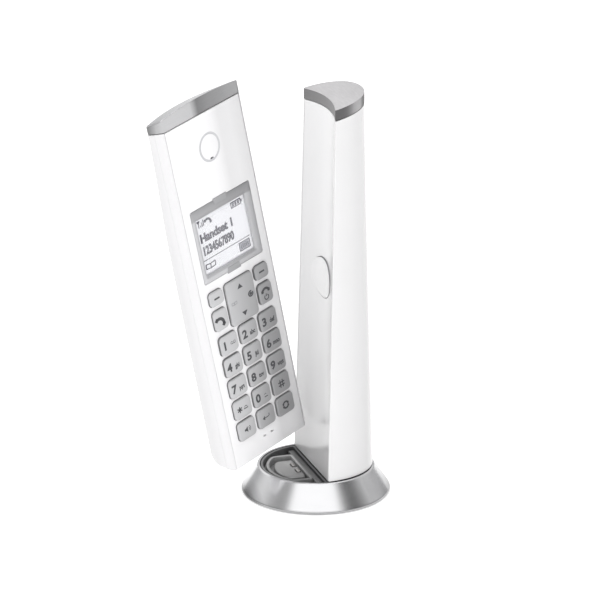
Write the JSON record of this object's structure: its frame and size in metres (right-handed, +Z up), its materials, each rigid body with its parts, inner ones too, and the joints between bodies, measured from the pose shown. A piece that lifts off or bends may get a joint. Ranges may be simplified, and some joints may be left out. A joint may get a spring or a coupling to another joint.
{
  "type": "cordless telephone with charging base",
  "caption": "Cordless telephone handset with keypad and display, lifted out of an upright tower-shaped charging base on a round silver foot.",
  "frame": {"origin": "centre of the round anti-slip pad under the foot, on the surface that the base stands on", "axes": "+Z up along the tower; the cradle and the tower's hollow front look towards -Y; the tower stands on the +Y side"},
  "size_m": [0.068, 0.1143, 0.1912],
  "materials": {
    "white_gloss": "smooth glossy white moulded plastic",
    "silver_brushed": "fine brushed silver end cap",
    "foot_chrome": "polished silver ring, slightly soft reflections",
    "cradle_grey": "dark metallic grey moulded plastic",
    "key_silver": "satin silver-grey painted key",
    "bezel_grey": "satin mid-grey frame",
    "lens_clear": "clear polished window",
    "lcd_pale": "pale grey reflective display",
    "black_plastic": "fine-grained black moulding",
    "rubber_grey": "dull dark grey rubber",
    "board_green": "green solder-masked board",
    "steel": "plain machined steel",
    "contact_nickel": "nickel-plated spring contact",
    "cell_wrap": "printed cell wrapper over metal"
  },
  "bodies": {
    "base": {"anti_slip_pad": "rubber_grey", "ballast_weight": "steel", "base_circuit_board": "board_green", "cradle_insert": "cradle_grey", "dc_power_jack": "black_plastic", "foot_bottom_plate": "black_plastic", "foot_ring": "foot_chrome", "foot_screw_1": "steel", "foot_screw_2": "steel", "line_socket": "black_plastic", "tower_front_shell": "white_gloss", "tower_rear_shell": "white_gloss", "tower_top_cap": "silver_brushed"},
    "handset": {"handset_front_housing": "white_gloss", "handset_rear_housing": "white_gloss", "handset_front_panel": "white_gloss", "handset_top_cap": "silver_brushed", "display_bezel": "bezel_grey", "display_lens": "lens_clear", "lcd_module": "lcd_pale", "keypad_mat": "rubber_grey", "handset_circuit_board": "board_green", "earpiece_speaker": "black_plastic", "ringer_speaker": "black_plastic", "microphone": "black_plastic", "battery_1": "cell_wrap", "battery_2": "cell_wrap", "handset_charge_contact_left": "contact_nickel", "handset_charge_contact_right": "contact_nickel", "handset_screw_1": "steel", "handset_screw_2": "steel"},
    "battery_cover": {"battery_cover": "white_gloss"},
    "locator_button": {"locator_button": "white_gloss"},
    "charge_contact_left": {"charge_contact_left": "contact_nickel"},
    "charge_contact_right": {"charge_contact_right": "contact_nickel"},
    "key_soft_left": {"key_soft_left": "key_silver"},
    "key_soft_right": {"key_soft_right": "key_silver"},
    "key_talk": {"key_talk": "key_silver"},
    "key_off": {"key_off": "key_silver"},
    "key_navigator": {"key_navigator": "key_silver"},
    "key_1": {"key_1": "key_silver"},
    "key_2": {"key_2": "key_silver"},
    "key_3": {"key_3": "key_silver"},
    "key_4": {"key_4": "key_silver"},
    "key_5": {"key_5": "key_silver"},
    "key_6": {"key_6": "key_silver"},
    "key_7": {"key_7": "key_silver"},
    "key_8": {"key_8": "key_silver"},
    "key_9": {"key_9": "key_silver"},
    "key_star": {"key_star": "key_silver"},
    "key_0": {"key_0": "key_silver"},
    "key_hash": {"key_hash": "key_silver"},
    "key_speaker": {"key_speaker": "key_silver"},
    "key_redial": {"key_redial": "key_silver"},
    "key_intercom": {"key_intercom": "key_silver"}
  },
  "joints": [
    {"name": "handset_lift", "type": "slide", "parent": "base", "child": "handset", "axis": [0.1174, -0.2177, 0.9689], "range_m": [0, 0.1]},
    {"name": "battery_cover_slide", "type": "slide", "parent": "handset", "child": "battery_cover", "axis": [-0.1174, 0.2177, -0.9689], "range_m": [0, 0.012]},
    {"name": "locator_button_press", "type": "slide", "parent": "base", "child": "locator_button", "axis": [0, 1, 0], "range_m": [0, 0.0008], "stiffness_N_per_m": 300},
    {"name": "charge_contact_left_press", "type": "slide", "parent": "base", "child": "charge_contact_left", "axis": [0, 0, -1], "range_m": [0, 0.0008], "stiffness_N_per_m": 300},
    {"name": "charge_contact_right_press", "type": "slide", "parent": "base", "child": "charge_contact_right", "axis": [0, 0, -1], "range_m": [0, 0.0008], "stiffness_N_per_m": 300},
    {"name": "key_soft_left_press", "type": "slide", "parent": "handset", "child": "key_soft_left", "axis": [-0.9012, -0.4332, 0.0118], "range_m": [0, 0.0007], "stiffness_N_per_m": 300},
    {"name": "key_soft_right_press", "type": "slide", "parent": "handset", "child": "key_soft_right", "axis": [-0.9012, -0.4332, 0.0118], "range_m": [0, 0.0007], "stiffness_N_per_m": 300},
    {"name": "key_talk_press", "type": "slide", "parent": "handset", "child": "key_talk", "axis": [-0.9012, -0.4332, 0.0118], "range_m": [0, 0.0007], "stiffness_N_per_m": 300},
    {"name": "key_off_press", "type": "slide", "parent": "handset", "child": "key_off", "axis": [-0.9012, -0.4332, 0.0118], "range_m": [0, 0.0007], "stiffness_N_per_m": 300},
    {"name": "key_navigator_press", "type": "slide", "parent": "handset", "child": "key_navigator", "axis": [-0.9012, -0.4332, 0.0118], "range_m": [0, 0.0007], "stiffness_N_per_m": 300},
    {"name": "key_1_press", "type": "slide", "parent": "handset", "child": "key_1", "axis": [-0.9012, -0.4332, 0.0118], "range_m": [0, 0.0007], "stiffness_N_per_m": 300},
    {"name": "key_2_press", "type": "slide", "parent": "handset", "child": "key_2", "axis": [-0.9012, -0.4332, 0.0118], "range_m": [0, 0.0007], "stiffness_N_per_m": 300},
    {"name": "key_3_press", "type": "slide", "parent": "handset", "child": "key_3", "axis": [-0.9012, -0.4332, 0.0118], "range_m": [0, 0.0007], "stiffness_N_per_m": 300},
    {"name": "key_4_press", "type": "slide", "parent": "handset", "child": "key_4", "axis": [-0.9012, -0.4332, 0.0118], "range_m": [0, 0.0007], "stiffness_N_per_m": 300},
    {"name": "key_5_press", "type": "slide", "parent": "handset", "child": "key_5", "axis": [-0.9012, -0.4332, 0.0118], "range_m": [0, 0.0007], "stiffness_N_per_m": 300},
    {"name": "key_6_press", "type": "slide", "parent": "handset", "child": "key_6", "axis": [-0.9012, -0.4332, 0.0118], "range_m": [0, 0.0007], "stiffness_N_per_m": 300},
    {"name": "key_7_press", "type": "slide", "parent": "handset", "child": "key_7", "axis": [-0.9012, -0.4332, 0.0118], "range_m": [0, 0.0007], "stiffness_N_per_m": 300},
    {"name": "key_8_press", "type": "slide", "parent": "handset", "child": "key_8", "axis": [-0.9012, -0.4332, 0.0118], "range_m": [0, 0.0007], "stiffness_N_per_m": 300},
    {"name": "key_9_press", "type": "slide", "parent": "handset", "child": "key_9", "axis": [-0.9012, -0.4332, 0.0118], "range_m": [0, 0.0007], "stiffness_N_per_m": 300},
    {"name": "key_star_press", "type": "slide", "parent": "handset", "child": "key_star", "axis": [-0.9012, -0.4332, 0.0118], "range_m": [0, 0.0007], "stiffness_N_per_m": 300},
    {"name": "key_0_press", "type": "slide", "parent": "handset", "child": "key_0", "axis": [-0.9012, -0.4332, 0.0118], "range_m": [0, 0.0007], "stiffness_N_per_m": 300},
    {"name": "key_hash_press", "type": "slide", "parent": "handset", "child": "key_hash", "axis": [-0.9012, -0.4332, 0.0118], "range_m": [0, 0.0007], "stiffness_N_per_m": 300},
    {"name": "key_speaker_press", "type": "slide", "parent": "handset", "child": "key_speaker", "axis": [-0.9012, -0.4332, 0.0118], "range_m": [0, 0.0007], "stiffness_N_per_m": 300},
    {"name": "key_redial_press", "type": "slide", "parent": "handset", "child": "key_redial", "axis": [-0.9012, -0.4332, 0.0118], "range_m": [0, 0.0007], "stiffness_N_per_m": 300},
    {"name": "key_intercom_press", "type": "slide", "parent": "handset", "child": "key_intercom", "axis": [-0.9012, -0.4332, 0.0118], "range_m": [0, 0.0007], "stiffness_N_per_m": 300}
  ]
}
